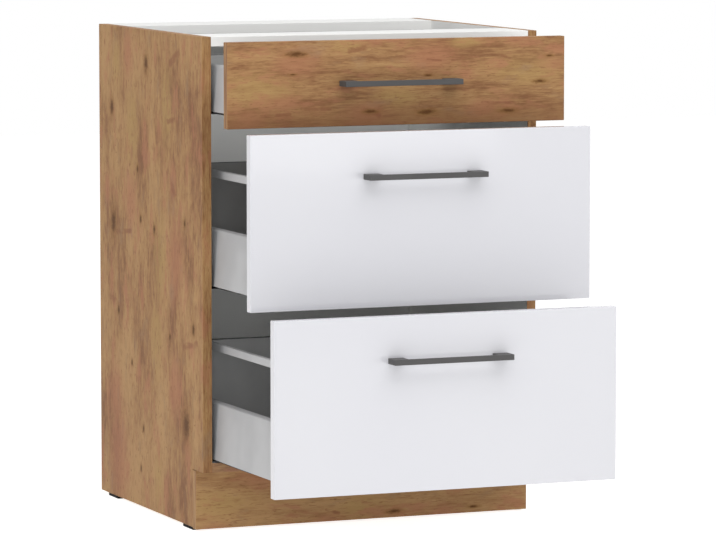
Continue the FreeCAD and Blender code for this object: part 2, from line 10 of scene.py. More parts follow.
# %% Load the fixed frame
import json
import math
import bpy
import numpy as np
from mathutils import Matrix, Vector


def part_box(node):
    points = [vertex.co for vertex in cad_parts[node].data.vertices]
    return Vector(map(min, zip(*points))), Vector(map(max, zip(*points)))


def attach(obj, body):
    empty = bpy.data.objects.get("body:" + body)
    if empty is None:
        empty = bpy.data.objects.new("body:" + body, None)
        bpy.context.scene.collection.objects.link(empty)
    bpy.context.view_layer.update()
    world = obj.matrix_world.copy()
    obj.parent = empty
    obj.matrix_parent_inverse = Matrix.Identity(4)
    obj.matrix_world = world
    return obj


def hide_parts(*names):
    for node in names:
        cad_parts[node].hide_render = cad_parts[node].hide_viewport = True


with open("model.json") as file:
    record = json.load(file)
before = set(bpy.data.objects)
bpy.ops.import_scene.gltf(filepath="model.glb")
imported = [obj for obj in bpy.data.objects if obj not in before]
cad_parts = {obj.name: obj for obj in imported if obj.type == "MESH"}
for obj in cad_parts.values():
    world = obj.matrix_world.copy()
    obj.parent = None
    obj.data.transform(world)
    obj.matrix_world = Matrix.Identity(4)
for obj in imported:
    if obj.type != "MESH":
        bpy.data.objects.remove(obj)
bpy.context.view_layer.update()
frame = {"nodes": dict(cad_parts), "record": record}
nodes = frame["nodes"]

# %% [markdown]
# ## The camera
#
# The photograph was taken from far away with a long lens, a little above the cabinet and to
# its left. Its upright edges hardly lean, so the camera looks only a few degrees down. A
# camera could be placed by eye; here its place was worked out from the cabinet's corners,
# which leaves an error of about a pixel.

# %% Place the camera
FOCAL_LENGTH, SENSOR = 228.787, 36.0           # millimetres
CAMERA_PLACE = (-2.89165, -6.95471, 1.18120)
LOOK_DOWN, LOOK_RIGHT = 5.719, 22.404          # degrees
camera_data = bpy.data.cameras.new("camera")
camera_data.sensor_width = SENSOR
camera_data.lens = FOCAL_LENGTH
camera_data.clip_start, camera_data.clip_end = 0.5, 60.0
camera = bpy.data.objects.new("camera", camera_data)
bpy.context.scene.collection.objects.link(camera)
camera.location = CAMERA_PLACE
camera.rotation_euler = (math.radians(90 - LOOK_DOWN), 0, -math.radians(LOOK_RIGHT))
bpy.context.scene.camera = camera
bpy.context.scene.view_settings.view_transform = "Standard"
print("camera", [round(v, 3) for v in camera.location])


# %% [markdown]
# ## Arithmetic with sockets
#
# A procedural finish is a long sum of textures. Wiring each node by hand hides that sum, so
# a small class wraps a socket, and plus, minus and times add the Math nodes. Every other
# node comes from one method that takes its type, its settings and its inputs. A material and
# the world share that method, and a finish adds the steps that every board and metal needs.

# %% A socket that can be reckoned with
def reckon(operation, swapped=False):
    """An operator that adds one Math node."""
    def method(self, other):
        first, second = (other, self) if swapped else (self, other)
        return self.shading.node("Math", {"operation": operation}, {0: first, 1: second})
    return method


class Wire:
    """What one socket gives out."""

    def __init__(self, shading, socket):
        self.shading, self.socket = shading, socket

    def __abs__(self):
        return self.shading.node("Math", {"operation": "ABSOLUTE"}, {0: self})

    __add__ = __radd__ = reckon("ADD")
    __mul__ = __rmul__ = reckon("MULTIPLY")
    __sub__, __rsub__ = reckon("SUBTRACT"), reckon("SUBTRACT", swapped=True)
    __lt__, __gt__ = reckon("LESS_THAN"), reckon("GREATER_THAN")


# %% The nodes of a material or of the world
class Shading:
    """A new material or world, and the one method that adds a node to it."""

    def __init__(self, name, kind="materials"):
        self.block = getattr(bpy.data, kind).new(name)
        self.block.use_nodes = True
        self.tree = self.block.node_tree
        self.tree.nodes.clear()

    def node(self, kind, settings, inputs, out=0):
        """Adds a node of a type, with its settings first and then its inputs."""
        made = self.tree.nodes.new("ShaderNode" + kind)
        for key, value in settings.items():
            if key == "stops":
                ramp = made.color_ramp.elements
                while len(ramp) < len(value):
                    ramp.new(1.0)
                for stop, (place, colour) in zip(ramp, value):
                    stop.position, stop.color = place, colour
            else:
                setattr(made, key, value)
        for key, value in inputs.items():
            if isinstance(value, Wire):
                self.tree.links.new(value.socket, made.inputs[key])
            else:
                made.inputs[key].default_value = value
        return Wire(self, made.outputs[out]) if made.outputs else None


# %% A finish under way
class Finish(Shading):
    """A material with the steps that the boards, metals and plastics share."""

    def place(self):
        """X, Y and Z of the surface in the object's own metres."""
        spot = self.node("TexCoord", {}, {}, "Object")
        parts = self.node("SeparateXYZ", {}, {0: spot})
        outputs = parts.socket.node.outputs
        return [Wire(self, outputs[i]) for i in range(3)]

    def noise(self, x, y, z, detail=2.0, roughness=0.5):
        """Cloudy values about 0.5, at one cloud to each unit of x, y and z."""
        spot = self.node("CombineXYZ", {}, {0: x, 1: y, 2: z})
        return self.node("TexNoise", {}, {"Vector": spot, "Scale": 1.0, "Detail": detail,
                                          "Roughness": roughness})

    def step(self, value, low, high, top=1.0):
        """A smooth step from 0 to top while the value goes from low to high."""
        return self.node("MapRange", {"interpolation_type": "SMOOTHSTEP"},
                         {"Value": value, "From Min": low, "From Max": high,
                          "To Min": 0.0, "To Max": top})

    def least(self, values):
        """The smallest of several values."""
        smallest = values[0]
        for value in values[1:]:
            smallest = self.node("Math", {"operation": "MINIMUM"}, {0: smallest, 1: value})
        return smallest

    def ramp(self, value, *stops):
        """A row of colours along a value."""
        return self.node("ValToRGB", {"stops": stops}, {0: value})

    def mix(self, factor, first, second):
        """From one colour to another as the factor goes from 0 to 1."""
        return self.node("Mix", {"data_type": "RGBA"}, {0: factor, 6: first, 7: second}, 2)

    def lay(self, colour, second, value, low, high, strength=1.0):
        """A second colour laid on, from none where the value is low to the strength at high."""
        return self.mix(self.step(value, low, high, strength), colour, second)

    def surface(self, colour, roughness, height, depth, metallic=0.0, **plain):
        """Closes the material with the usual shader; plain values go on its own sockets."""
        inputs = {"Base Color": colour, "Roughness": roughness, "Metallic": metallic}
        inputs["Normal"] = self.node("Bump", {}, {"Height": height, "Distance": depth,
                                                  "Strength": 1.0})
        inputs.update({key.replace("_", " "): value for key, value in plain.items()})
        shader = self.node("BsdfPrincipled", {}, inputs)
        self.node("OutputMaterial", {}, {"Surface": shader})
        print(self.block.name, "has", len(self.tree.nodes), "nodes")
        return self.block


# %% Colours as written on a paint chart
def tone(red, green, blue):
    """A colour as a paint chart gives it, 0 to 255, in the linear values that shaders use."""
    parts = np.array([red, green, blue]) / 255
    linear = np.where(parts <= 0.04045, parts / 12.92, ((parts + 0.055) / 1.055) ** 2.4)
    return (*[float(v) for v in linear], 1.0)


print("middle grey", tone(128, 128, 128))

# %% [markdown]
# ## Oak decor
#
# The sides, the plinth and the top front carry a printed oak: tan wood with long fibres,
# reddish and olive clouds, dark knots, and short red streaks where a branch crosses the grain.
# A scanned board would be the quick way, but it would repeat on every board. Here every layer
# is a noise stretched along the grain, and only the knots, streaks and largest clouds stand
# at listed places.

# %% Colours of the oak
OAK_LIGHT, OAK_MID, OAK_DARK = tone(175, 138, 94), tone(160, 122, 81), tone(128, 88, 58)
OAK_RED, OAK_OLIVE, OAK_GREY = tone(165, 113, 83), tone(168, 137, 86), tone(146, 117, 88)
OAK_KNOT, OAK_RIM, OAK_STREAK = tone(84, 50, 16), tone(130, 91, 48), tone(126, 78, 55)


# %% Distance to spots and strokes
def spot_distance(finish, along, across, spots, stretch):
    """Distance to the nearest spot, as a multiple of that spot's own half width."""
    here = finish.node("CombineXYZ", {}, {0: along * stretch, 1: across, 2: 0.0})
    gaps = []
    for spot_along, spot_across, size in spots:
        centre = (spot_along * stretch, spot_across, 0.0)
        gap = finish.node("VectorMath", {"operation": "DISTANCE"}, {0: here, 1: centre}, "Value")
        gaps.append(gap * (1.0 / size))
    return finish.least(gaps)


def stroke_distance(finish, along, across, strokes):
    """Squared distance to the nearest stroke, as a multiple of its half width.

    The foot of the distance is the point at share t of the stroke, t being the projection on
    the stroke divided by its squared length and held between 0 and 1.
    """
    gaps = []
    for along_0, across_0, along_1, across_1, size in strokes:
        run, rise = along_1 - along_0, across_1 - across_0
        length = run * run + rise * rise
        share = (along - along_0) * (run / length) + (across - across_0) * (rise / length)
        share = finish.node("Clamp", {}, {"Value": share})
        off_along = along - along_0 - share * run
        off_across = across - across_0 - share * rise
        gaps.append((off_along * off_along + off_across * off_across) * (1.0 / size ** 2))
    return finish.least(gaps)


# %% [markdown]
# ### Grain
#
# Fibres run along a growth line and part where a knot stands. The growth line is the distance
# across the grain plus a slow wander plus a bulge beside each knot. The wood's own colour is a
# sum of four noises along that line, and a ramp turns the sum into dark, middle or light wood.
# In each noise a length is multiplied by its number of clouds to the metre, which is small
# along the grain and large across it.

# %% Grain of the oak
WANDER, BULGE = 0.02, 0.006        # metres that the growth line moves


def growth_line(finish, along, across, depth, knot):
    """Across the grain, plus a slow wander, plus exp(-0.12 x knot squared) beside a knot."""
    wander = finish.noise(along * 2.2, across * 7, depth * 7, 2)
    bulge = finish.node("Math", {"operation": "EXPONENT"}, {0: knot * knot * -0.12})
    return across + (wander - 0.5) * WANDER + bulge * BULGE


def grain(finish, along, growth, depth, print_):
    """Colour of the wood before any mark, and its fibres."""
    fine = print_["fine"]
    bands = finish.noise(along * 5, growth * (38 * fine), depth * 38, 3, 0.5)
    streaks = finish.noise(along * 14, growth * (120 * fine), depth * 120, 3, 0.55)
    mottle = finish.noise(along * 50, growth * (220 * fine), depth * 220, 2, 0.6)
    fibres = finish.noise(along * 32, growth * (420 * fine), depth * 420, 3, 0.7)
    lines = streaks * 0.32 + mottle * 0.25 + fibres * 0.52 - 0.545
    value = (bands - 0.5) * print_["clouds"] + lines * print_["grain"] + print_["level"]
    return finish.ramp(value, (0.36, OAK_DARK), (0.51, OAK_MID), (0.66, OAK_LIGHT)), fibres


# %% [markdown]
# ### Clouds, flecks and knots
#
# The marks are laid over the grain one after another, each as a colour that shows where a
# value passes a limit. Clouds come first, then smudges, blotches, specks, pores and ticks.
# The strokes and knots come last, with edges made ragged by a fine noise, because a knot
# hides the grain beneath it.

# %% Clouds of the oak
def clouded(finish, along, across, depth, print_, colour):
    """Red and olive clouds at their places, with small red and grey ones everywhere."""
    cloud = finish.noise(along * 12, across * 30 + 7.3, depth * 30, 4, 0.65)
    edge = (cloud - 0.5) * 3.2
    red = spot_distance(finish, along, across, print_["red"], 0.55) + edge
    olive = spot_distance(finish, along, across, print_["olive"], 0.4) - edge
    colour = finish.lay(colour, OAK_RED, red, 1.6, 0.3, 0.7)
    colour = finish.lay(colour, OAK_OLIVE, olive, 1.6, 0.3, 0.6)
    colour = finish.lay(colour, OAK_RED, cloud, 0.51, 0.67, 0.72)
    return finish.lay(colour, OAK_GREY, cloud, 0.45, 0.28, 0.6)


# %% Flecks of the oak
def flecked(finish, along, across, growth, depth, print_, colour):
    """Dark smudges, brown blotches, specks, pores and ticks; gives the pores back too."""
    fine, smudges = print_["fine"], print_["smudges"]
    smudge = finish.noise(along * 10 + 3.1, growth * (70 * fine), depth * 70, 3, 0.6)
    colour = finish.lay(colour, OAK_DARK, smudge, 0.53, 0.72, smudges)
    blotch = finish.noise(along * 32, across * (80 * fine), depth * 70 + 2.9, 4, 0.65)
    colour = finish.lay(colour, OAK_STREAK, blotch, 0.59, 0.73, smudges)
    speck = finish.step(finish.noise(along * 95, across * (240 * fine), depth * 240, 2), 0.66, 0.76)
    pores = finish.step(finish.noise(along * 90, growth * 1500, depth * 1500, 1), 0.62, 0.75)
    colour = finish.mix(speck * 0.65 + pores * 0.18, colour, OAK_DARK)
    tick = finish.noise(along * 60 + 5.1, across * (500 * fine), depth * 500, 2, 0.6)
    return finish.lay(colour, OAK_DARK, tick, 0.56, 0.70, 0.6), pores


# %% Knots of the oak
def knotted(finish, along, across, depth, ragged, knot, print_, colour):
    """Broken red strokes, then each knot's rim and its dark heart."""
    fine = print_["fine"]
    broken = finish.step(finish.noise(along * 40, across * (40 * fine), depth * 40, 2), 0.36, 0.56)
    stroke = stroke_distance(finish, along, across, print_["strokes"]) + (ragged - 0.5) * 9
    colour = finish.mix(broken * finish.step(stroke, 5.0, 0, 0.6), colour, OAK_STREAK)
    colour = finish.lay(colour, OAK_RIM, knot, 3.4, 1.0, 0.55)
    return finish.lay(colour, OAK_KNOT, knot, 1.9, 0.3, 0.92)


# %% The whole oak pattern
def oak(finish, along, across, depth, print_):
    """Colour, roughness and height of oak decor; all three lengths are in metres."""
    ragged = finish.noise(along * 120, across * (230 * print_["fine"]), depth * 230, 4, 0.65)
    knot = spot_distance(finish, along, across, print_["knots"], print_["stretch"])
    knot = knot + (ragged - 0.5) * 2.0
    growth = growth_line(finish, along, across, depth, knot)
    colour, fibres = grain(finish, along, growth, depth, print_)
    colour = clouded(finish, along, across, depth, print_, colour)
    colour, pores = flecked(finish, along, across, growth, depth, print_, colour)
    # the board is made darker towards its lower edge
    if print_["shade"]:
        low, high, strength = print_["shade"]
        colour = finish.lay(colour, OAK_DARK, across, high, low, strength)
    colour = knotted(finish, along, across, depth, ragged, knot, print_, colour)
    return colour, 0.5 + fibres * 0.12, fibres * 0.7 - pores


# %% [markdown]
# ### Prints
#
# The boards don't share one print, so each has its own settings and its own marks.
#
# - stretch: how knots are drawn out; 1 is round, and less is longer along the grain
# - fine: 1 for the fine figure of the level boards, less for the broader one of the sides
# - clouds, grain: how strong the wide bands are, and how strong the lines
# - level: where their sum lies on the ramp from dark to light wood
# - smudges: how strong the smudges and blotches are
# - shade: the board darker towards its lower edge, full below the first height, gone above the
#   second, and its strength
#
# A knot or cloud is given by its place along the grain, its place across it and its half
# width; a stroke by its two ends and half width. All are in metres, read off the real boards.
# The plinth is cut from the same print as the top front, one sheet lower, where the knots and
# strokes are others. Its level is set higher as painted light, to make up for the shade that
# the open drawers cast on it.

# %% Print of the sides
SIDE_PRINT = {
    "stretch": 0.62, "fine": 0.36, "clouds": 0.8, "grain": 0.95, "level": 0.52,
    "smudges": 0.30, "shade": None,
    "knots": [(0.763, 0.270, 0.0062), (0.680, 0.445, 0.0056), (0.482, 0.438, 0.0086),
              (0.497, 0.300, 0.0034), (0.485, 0.232, 0.0036), (0.171, 0.079, 0.0105),
              (0.247, 0.347, 0.0024), (0.140, 0.290, 0.0028), (0.311, 0.157, 0.0026),
              (0.335, 0.044, 0.0040), (0.331, 0.414, 0.0036), (0.507, 0.084, 0.0030),
              (0.582, 0.314, 0.0030), (0.070, 0.303, 0.0026)],
    "red": [(0.530, 0.350, 0.026), (0.440, 0.128, 0.034), (0.225, 0.135, 0.026),
            (0.075, 0.412, 0.042), (0.775, 0.360, 0.022), (0.180, 0.430, 0.030),
            (0.540, 0.470, 0.014), (0.020, 0.010, 0.018), (0.575, 0.140, 0.014)],
    "olive": [(0.440, 0.205, 0.030), (0.300, 0.225, 0.026), (0.650, 0.340, 0.028),
              (0.700, 0.170, 0.026), (0.060, 0.215, 0.020), (0.760, 0.420, 0.018)],
    "strokes": [(0.672, 0.165, 0.680, 0.098, 0.0028), (0.302, 0.092, 0.313, 0.028, 0.0034),
                (0.352, 0.462, 0.338, 0.400, 0.0034), (0.770, 0.150, 0.790, 0.110, 0.0042),
                (0.466, 0.420, 0.473, 0.350, 0.0026), (0.580, 0.158, 0.550, 0.130, 0.0042)],
}
print(len(SIDE_PRINT["knots"]), "knots on a side")

# %% Prints of the top front and the plinth
FRONT_PRINT = {
    "stretch": 0.26, "fine": 1.0, "clouds": 0.42, "grain": 0.9, "level": 0.47,
    "smudges": 0.26, "shade": (0.680, 0.722, 0.55),
    "knots": [(-0.179, 0.795, 0.0031), (-0.049, 0.699, 0.0021), (0.050, 0.696, 0.0028),
              (0.196, 0.695, 0.0023), (0.254, 0.742, 0.0018), (0.271, 0.784, 0.0012),
              (0.053, 0.756, 0.0012), (-0.185, 0.762, 0.0010)],
    "red": [(-0.180, 0.780, 0.020), (0.060, 0.786, 0.022), (-0.060, 0.690, 0.018),
            (0.150, 0.700, 0.014), (-0.260, 0.690, 0.014), (0.275, 0.770, 0.012)],
    "olive": [(-0.250, 0.740, 0.022), (0.000, 0.722, 0.016), (0.230, 0.760, 0.022),
              (0.120, 0.810, 0.010), (-0.090, 0.806, 0.010)],
    "strokes": [(-0.058, 0.803, -0.086, 0.798, 0.0024), (-0.058, 0.704, -0.034, 0.692, 0.0026),
                (0.185, 0.786, 0.200, 0.782, 0.0015), (0.096, 0.780, 0.120, 0.778, 0.0010),
                (-0.170, 0.706, -0.120, 0.704, 0.0016), (-0.240, 0.696, -0.190, 0.698, 0.0016),
                (0.150, 0.709, 0.215, 0.707, 0.0013), (0.052, 0.782, 0.076, 0.780, 0.0010)],
}
# the plinth's higher level is painted light against the shade of the open drawers
PLINTH_PRINT_WITH_PAINTED_LIGHT = {**FRONT_PRINT, "level": 0.59, "shade": None,
                "knots": [(0.061, 0.708, 0.0022), (0.206, 0.708, 0.0015)],
                "strokes": [(-0.062, 0.718, -0.040, 0.711, 0.0018)]}
PLINTH_SLIDE = (0.005, 0.695)      # along and across, from the plinth to the top front
print(len(FRONT_PRINT["knots"]), "knots on the front,", len(PLINTH_PRINT_WITH_PAINTED_LIGHT["knots"]), "on the plinth")

# %% [markdown]
# ## Boards
#
# A carcass side is oak outside and on its front edge, white inside, and bare chipboard at its
# rear and lower edges, where no one looks. Each skin could have a material of its own, put on
# the faces that it covers. One material that chooses by place is simpler here, because the
# frame's boards are single solids, and the limits come from their own boxes.

# %% Melamine and chipboard
FACE_SKIN = 0.0003             # a print reaches this far into the eased edge
BAND_SKIN = 0.0006             # the band on a front edge goes right round its eased corners
WHITE, WHITE_DULL = tone(243, 243, 241), tone(200, 198, 194)


def melamine(finish, x, y, z):
    """Colour, roughness and height of white melamine with its fine orange peel."""
    mottle = finish.noise(x * 14, y * 14, z * 14, 2)
    peel = finish.noise(x * 1400, y * 1400, z * 1400, 1)
    return finish.lay(WHITE, WHITE_DULL, mottle, 0.3, 0.7, 0.05), 0.38 + mottle * 0.1, peel


def chipboard(finish, x, y, z):
    """Colour of a cut edge: pressed chips, each with its own tone."""
    spot = finish.node("CombineXYZ", {}, {0: x * 420, 1: y * 420, 2: z * 420})
    chips = finish.node("TexVoronoi", {}, {"Vector": spot, "Scale": 1.0}, "Color") * 0.55
    dust = finish.noise(x * 900, y * 900, z * 900, 2) * 0.45
    return finish.ramp(chips + dust, (0.28, tone(122, 90, 58)), (0.5, tone(176, 141, 98)),
                       (0.74, tone(207, 178, 134)))


# %% The sides
side_low, side_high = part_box("side_panel_left")
SIDES_INNER, SIDES_REAR, SIDES_FOOT = -side_high[0], side_high[1], side_low[2]


def side_board():
    """Oak with the grain upright, white on the inner face, chipboard behind and below."""
    finish = Finish("oak_board_upright")
    x, y, z = finish.place()
    colour, rough, height = oak(finish, z, y, x, SIDE_PRINT)
    white, white_rough, _ = melamine(finish, x, y, z)
    inside = (abs(x) < SIDES_INNER + FACE_SKIN) * (y > BAND_SKIN)
    colour = finish.mix(inside, colour, white)
    cut = finish.node("Math", {"operation": "MAXIMUM"},
                      {0: y > SIDES_REAR - FACE_SKIN, 1: z < SIDES_FOOT + FACE_SKIN})
    colour = finish.mix(cut, colour, chipboard(finish, x, y, z))
    return finish.surface(colour, rough + inside * (white_rough - rough), height * (1 - inside),
                          0.0001, Specular_IOR_Level=0.12)


finishes = {"oak_board": side_board()}


# %% The top front and the plinth
def level_oak(name, node, print_, slide=(0.0, 0.0)):
    """Oak with the grain from left to right; the short edges have a band with upright grain."""
    finish = Finish(name)
    x, y, z = finish.place()
    colour, rough, height = oak(finish, x + slide[0], z + slide[1], y, print_)
    band = finish.noise(z * 9, y * 190, x, 3)
    band = finish.ramp(band, (0.36, OAK_DARK), (0.52, OAK_MID), (0.68, OAK_LIGHT))
    half_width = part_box(node)[1][0]
    colour = finish.mix(abs(x) > half_width - FACE_SKIN, colour, band)
    return finish.surface(colour, rough, height, 0.0001, Specular_IOR_Level=0.2)


finishes["oak_front"] = level_oak("oak_board_level", "top_drawer_front", FRONT_PRINT)
# the plinth's oak is made lighter by painted light, against the shade of the open drawers
special = {"plinth_board": level_oak("oak_plinth_painted_light", "plinth_board", PLINTH_PRINT_WITH_PAINTED_LIGHT, PLINTH_SLIDE)}

# %% [markdown]
# ### White and grey boards
#
# The traverses are plain white melamine. The bottom panel is white too, with an oak band on
# its front edge, which shows above the plinth where the lowest drawer is pulled out. The
# drawers' bottoms and backs are grey, and a back is coloured dark along its upper edge. The
# oak band and the dark edge could be pieces of their own, but they are very thin, so a limit
# in the material does it.

# %% White boards
def white_board(name, banded):
    """White melamine; a banded board has oak on its front edge."""
    finish = Finish(name)
    x, y, z = finish.place()
    colour, rough, peel = melamine(finish, x, y, z)
    if banded:
        wood, wood_rough, _ = oak(finish, x, z + PLINTH_SLIDE[1], y, FRONT_PRINT)
        front = y < BAND_SKIN
        colour = finish.mix(front, colour, wood)
        rough = rough + front * (wood_rough - rough)
    return finish.surface(colour, rough, peel, 0.00002)


finishes["white_board"] = white_board("white_board", False)
special["bottom_panel"] = white_board("white_board_banded", True)

# %% Grey boards of the drawers
DRAWERS = ("top_drawer", "middle_drawer", "bottom_drawer")
GREY, GREY_PALE, DARK_TOP_EDGE = tone(157, 157, 156), tone(164, 164, 163), tone(46, 46, 47)


def drawer_board(name, upper_edge=None):
    """Grey melamine; a drawer's back is coloured dark along its upper edge."""
    finish = Finish(name)
    x, y, z = finish.place()
    mottle = finish.noise(x * 22, y * 22, z * 22, 3)
    peel = finish.noise(x * 1300, y * 1300, z * 1300, 1)
    colour = finish.lay(GREY, GREY_PALE, mottle, 0.35, 0.65, 0.5)
    if upper_edge:
        colour = finish.mix(z > upper_edge - FACE_SKIN, colour, DARK_TOP_EDGE)
    return finish.surface(colour, 0.42 + mottle * 0.1, peel, 0.00002)


finishes["drawer_board"] = drawer_board("drawer_board")
for drawer in DRAWERS:
    board = drawer + "_back"
    special[board] = drawer_board(board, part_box(board)[1][2])

# %% [markdown]
# ### The back
#
# The cabinet's back is a 3 mm sheet of pressed fibre, lacquered white on the side that one
# sees through the open drawers. Its outside is brown and felted. The two sides part a hair
# behind the rear edges of the boards, so the cut edge of the sheet is brown as well.

# %% The back
def hardboard():
    """White lacquer inside, brown pressed fibre outside."""
    finish = Finish("hardboard")
    x, y, z = finish.place()
    white, white_rough, _ = melamine(finish, x, y, z)
    felt = finish.noise(x * 300, y * 300, z * 300, 4, 0.7)
    cloud = finish.noise(x * 9, y * 9, z * 9, 2)
    brown = finish.ramp(felt * 0.7 + cloud * 0.3, (0.3, tone(104, 74, 48)),
                        (0.55, tone(134, 99, 68)), (0.75, tone(158, 122, 88)))
    outside = y > SIDES_REAR + FACE_SKIN
    return finish.surface(finish.mix(outside, white, brown),
                          white_rough + outside * (0.75 - white_rough), felt * outside, 0.0003)


finishes["hardboard"] = hardboard()

# %% [markdown]
# ## Fronts in high gloss
#
# The two tall fronts are lacquered white. Such a film is even in colour, and it shows that it
# is a real surface by the soft ripple of its reflections. A flat mirror would look like glass,
# so the bump is there, but very low and wide.

# %% Gloss lacquer
LACQUER, LACQUER_PALE = tone(211, 211, 216), tone(214, 214, 218)


def gloss_lacquer():
    """White lacquer with a faint long ripple."""
    finish = Finish("gloss_front")
    x, y, z = finish.place()
    ripple = finish.noise(x * 30, y * 30, z * 30, 2)
    tint = finish.noise(x * 3, y * 3, z * 3, 1)
    colour = finish.lay(LACQUER, LACQUER_PALE, tint, 0.35, 0.65, 0.5)
    return finish.surface(colour, 0.07 + ripple * 0.02, ripple, 0.00003,
                          Coat_Roughness=0.03, Coat_Weight=0.3)


finishes["gloss_front"] = gloss_lacquer()

# %% [markdown]
# ## Metal and plastic
#
# The drawer sides are powder coated, which is a matt colour with a fine grit, and so are the
# handles, in graphite. The runners are dark plated steel with the faint lines of rolling along
# their length. The nylon rollers and the glides are moulded. Metals could be told apart by
# colour alone, but the eye reads their grain and roughness first, so both come from nodes.

# %% Powder coat
HAZE_LIGHT = tone(250, 250, 250)


def powder_coat(name, colour, grit, rough, shine, haze):
    """A matt coat: the colour wavers by the haze, and the surface is gritty."""
    finish = Finish(name)
    x, y, z = finish.place()
    fine = finish.noise(x * grit, y * grit, z * grit, 2)
    slow = finish.noise(x * 11, y * 11, z * 11, 2)
    shade = finish.lay(colour, HAZE_LIGHT, slow, 0.35, 0.65, haze)
    return finish.surface(shade, rough + fine * 0.12, fine, 0.00003, Specular_IOR_Level=shine)


finishes["drawer_metal"] = powder_coat("drawer_metal", tone(171, 171, 172), 900, 0.45, 0.5, 0.10)
finishes["handle_metal"] = powder_coat("handle_metal", tone(77, 76, 76), 700, 0.55, 0.25, 0.01)


# %% Plated steel and zinc
def rolled_steel(name, light, dark, rough):
    """Plated sheet with rolling lines from front to back."""
    finish = Finish(name)
    x, y, z = finish.place()
    lines = finish.noise(x * 1800, y * 5, z * 1800, 3, 0.65)
    stain = finish.noise(x * 40, y * 18, z * 40, 3)
    shade = finish.lay(light, dark, stain * 0.5 + lines * 0.5, 0.35, 0.65)
    return finish.surface(shade, rough + lines * 0.2, lines, 0.00003, metallic=1.0)


for name, light, dark, rough in (("runner_steel", tone(84, 84, 86), tone(50, 50, 52), 0.3),
                                 ("fastener_steel", tone(196, 196, 192), tone(150, 150, 148), 0.25),
                                 ("cam_zinc", tone(176, 176, 176), tone(128, 128, 130), 0.4)):
    finishes[name] = rolled_steel(name, light, dark, rough)

# %% Moulded plastic
SKIN_LIGHT = tone(160, 160, 158)


def moulded(name, colour, rough, shine, haze):
    """Plastic with a fine spark-eroded skin; its colour wavers by the haze."""
    finish = Finish(name)
    x, y, z = finish.place()
    skin = finish.noise(x * 1200, y * 1200, z * 1200, 2)
    slow = finish.noise(x * 60, y * 60, z * 60, 2)
    shade = finish.lay(colour, SKIN_LIGHT, slow, 0.4, 0.7, haze)
    return finish.surface(shade, rough + skin * 0.15, skin, 0.00004, Specular_IOR_Level=shine)


finishes["roller_nylon"] = moulded("roller_nylon", tone(226, 225, 220), 0.4, 0.5, 0.06)
finishes["glide_plastic"] = moulded("glide_plastic", tone(13, 13, 14), 0.6, 0.08, 0.01)

# %% [markdown]
# ## Dowels
#
# The boards stand on dowels of bare beech. They hardly show, but a finish of their own keeps
# them wood: rings across the dowel, and the short dark flecks by which one knows beech.

# %% Beech
BEECH_LIGHT, BEECH_DARK, BEECH_FLECK = tone(214, 182, 136), tone(188, 150, 104), tone(140, 98, 60)


def beech():
    """Bare beech with short dark flecks along the dowel."""
    finish = Finish("dowel_beech")
    x, y, z = finish.place()
    flecks = finish.step(finish.noise(x * 120, y * 700, z * 700, 1), 0.6, 0.7)
    rings = finish.noise(x * 12, y * 260, z * 260, 2)
    shade = finish.mix(rings, BEECH_LIGHT, BEECH_DARK)
    return finish.surface(finish.mix(flecks * 0.5, shade, BEECH_FLECK), 0.7, rings, 0.0001)


finishes["dowel_beech"] = beech()

# %% [markdown]
# ## Dressing the nodes
#
# The record names a slot for every node, and each slot has one finish by now. The plinth, the
# bottom panel and the drawers' backs have one of their own. A copy of each finish for each
# node would look the same and only make the file heavier.

# %% Put the finishes on the nodes
slot_of = {part["node"]: part["material_slot"] for part in frame["record"]["subparts"]}
groups = frame["record"]["behaviour"]["bodies"]
body_of = {node: body for body, members in groups.items() for node in members}
finish_of = {name: special.get(name, finishes[slot_of[name]]) for name in nodes}
for name, node in nodes.items():
    node.data.materials.clear()
    node.data.materials.append(finish_of[name])
print("dressed", len(nodes), "nodes with", len(finishes), "finishes,", len(special), "of their own")

# %% [markdown]
# ## Pieces as worked-out surfaces
#
# A flat face joined to a round edge is hard to shade from plain triangles, so the fronts, the
# handles and the glides are built again. Each is a closed line with rounded corners, carried
# along an axis, and both of its rims are rounded too. The normals come out of the same sums
# as the points, so the faces stay flat and the edges catch one clean line of light. The same
# could be done with a bevel on a box, but then the normals of the wide faces would bend.

# %% A closed line with rounded corners
def rounded_line(corners, radii, steps=7):
    """Points and outward normals of a line that runs anticlockwise.

    At each corner the direction turns from u to v. The arc starts radius x tan(turn / 2) before
    the corner; its centre lies one radius to the inner side, or to the outer side where the
    line turns the other way. The normal turns evenly from the right of u to the right of v,
    and a point is the centre plus (or minus) radius x normal.
    """
    corners, radii = np.array(corners, float), np.array(radii, float)[:, None]
    into = corners - np.roll(corners, 1, axis=0)
    onto = np.roll(corners, -1, axis=0) - corners
    into /= np.linalg.norm(into, axis=1, keepdims=True)
    onto /= np.linalg.norm(onto, axis=1, keepdims=True)
    turn = np.arctan2(into[:, 0] * onto[:, 1] - into[:, 1] * onto[:, 0], (into * onto).sum(axis=1))
    start = np.arctan2(into[:, 1], into[:, 0]) - math.pi / 2
    angle = start[:, None] + turn[:, None] * np.linspace(0, 1, steps)
    normals = np.stack([np.cos(angle), np.sin(angle)], axis=2)
    hand = np.sign(turn)[:, None]
    arc_starts = corners - into * radii * np.tan(np.abs(turn) / 2)[:, None]
    centres = arc_starts - normals[:, 0] * hand * radii
    points = centres[:, None] + normals * (hand * radii)[:, None]
    return points.reshape(-1, 2), normals.reshape(-1, 2)


# %% Faces between rows of points
def quads_between(rows, count):
    """Four-sided faces between rows of points, each row being a closed ring."""
    here = np.arange(count)
    after = np.roll(here, -1)
    row = np.arange(rows - 1)[:, None] * count
    quads = np.stack([row + here, row + after, row + count + after, row + count + here], axis=-1)
    return quads.reshape(-1, 4)


